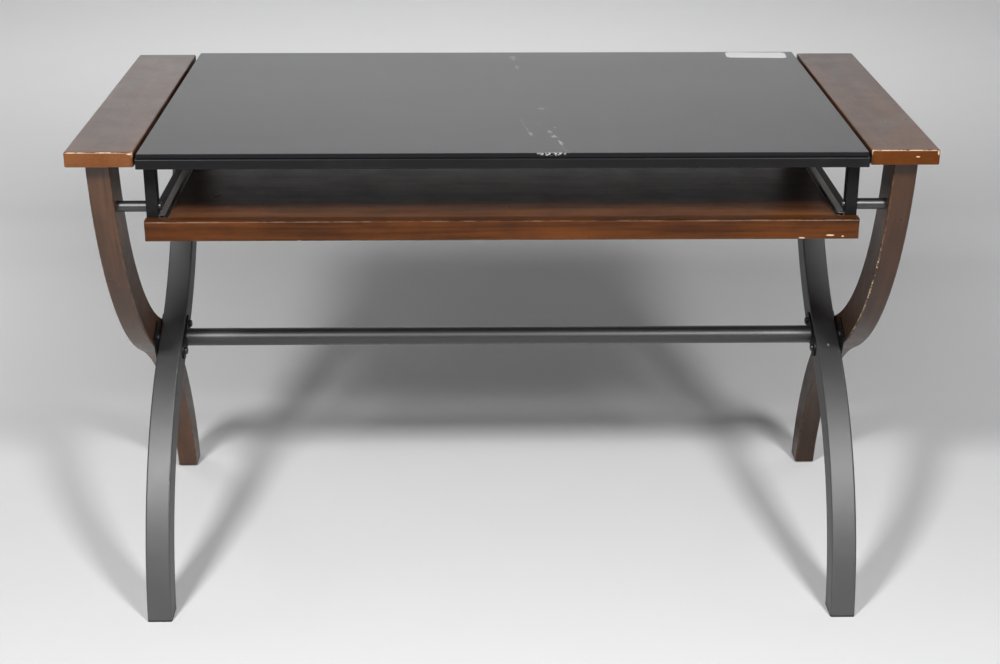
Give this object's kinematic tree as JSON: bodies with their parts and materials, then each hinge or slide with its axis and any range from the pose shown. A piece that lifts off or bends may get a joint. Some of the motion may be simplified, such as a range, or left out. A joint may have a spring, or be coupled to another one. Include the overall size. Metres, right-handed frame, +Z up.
{
  "type": "computer desk with keyboard tray",
  "caption": "Desk with a black top between wooden end panels, crossed curved wood and steel legs, a steel stretcher and a keyboard tray that slides out.",
  "frame": {"origin": "on the floor under the centre of the desk", "axes": "+X to the right as seen by the person sitting at the desk, +Y away from that person, +Z up"},
  "size_m": [1.219, 0.635, 0.762],
  "materials": {
    "lacquered_wood": "dark walnut stain under satin lacquer, edges worn pale",
    "black_glass": "opaque black, satin sheen, lightly scratched",
    "black_powder_coat": "fine-textured black powder coat",
    "black_steel": "black oxide, slightly rubbed",
    "zinc_steel": "bright zinc plate",
    "polished_steel": "polished bearing steel",
    "black_plastic": "moulded, matt",
    "black_rubber": "matt",
    "white_plastic": "smooth, matt",
    "beech": "plain, unfinished"
  },
  "bodies": {
    "desk": {"cam_bolts": "zinc_steel", "cam_locks": "zinc_steel", "centre_top_panel": "black_glass", "crossing_bolts": "black_steel", "crossing_tab_screws": "black_steel", "frame_front_rail": "black_powder_coat", "frame_rear_rail": "black_powder_coat", "hanger_plugs": "black_plastic", "joining_plates": "black_powder_coat", "large_weld_nuts": "zinc_steel", "left_crossing_plate": "black_powder_coat", "left_end_panel": "lacquered_wood", "left_frame_cross_bar": "black_powder_coat", "left_frame_side_rail": "black_powder_coat", "left_front_hanger": "black_powder_coat", "left_metal_foot_plug": "black_plastic", "left_metal_leg": "black_powder_coat", "left_rear_hanger": "black_powder_coat", "left_slide_outer_member": "zinc_steel", "left_stretcher_flange": "black_powder_coat", "left_tray_rail": "black_powder_coat", "left_wood_leg": "lacquered_wood", "leg_dowels": "beech", "metal_leg_top_plates": "black_powder_coat", "plate_screws": "black_steel", "rear_hanger_bolts": "black_steel", "rear_hanger_spacers": "black_powder_coat", "right_crossing_plate": "black_powder_coat", "right_end_panel": "lacquered_wood", "right_frame_cross_bar": "black_powder_coat", "right_frame_side_rail": "black_powder_coat", "right_front_hanger": "black_powder_coat", "right_metal_foot_plug": "black_plastic", "right_metal_leg": "black_powder_coat", "right_rear_hanger": "black_powder_coat", "right_slide_outer_member": "zinc_steel", "right_stretcher_flange": "black_powder_coat", "right_tray_rail": "black_powder_coat", "right_wood_leg": "lacquered_wood", "slide_rail_screws": "zinc_steel", "small_weld_nuts": "zinc_steel", "stretcher_bolts": "black_steel", "stretcher_tube": "black_powder_coat", "tie_bolts": "black_steel", "tie_inserts": "zinc_steel", "tie_tubes": "black_powder_coat", "top_panel_pads": "black_rubber", "tray_bumpers": "black_rubber", "wood_foot_glides": "white_plastic"},
    "tray": {"tray_board": "lacquered_wood", "tray_front_rail": "lacquered_wood", "tray_dowels": "beech", "slide_board_screws": "zinc_steel", "left_slide_inner_member": "zinc_steel", "right_slide_inner_member": "zinc_steel"},
    "left_ball_cage": {"left_slide_ball_cage": "zinc_steel", "left_slide_balls": "polished_steel"},
    "right_ball_cage": {"right_slide_ball_cage": "zinc_steel", "right_slide_balls": "polished_steel"}
  },
  "joints": [
    {"name": "tray_slide", "type": "slide", "parent": "desk", "child": "tray", "axis": [0, -1, 0], "range_m": [0, 0.28]},
    {"name": "left_cage_slide", "type": "slide", "parent": "desk", "child": "left_ball_cage", "axis": [0, -1, 0], "range_m": [0, 0.14]},
    {"name": "right_cage_slide", "type": "slide", "parent": "desk", "child": "right_ball_cage", "axis": [0, -1, 0], "range_m": [0, 0.14]}
  ],
  "couplings": [
    {"joint": "left_cage_slide", "follows": "tray_slide", "ratio": 0.5},
    {"joint": "right_cage_slide", "follows": "tray_slide", "ratio": 0.5}
  ]
}
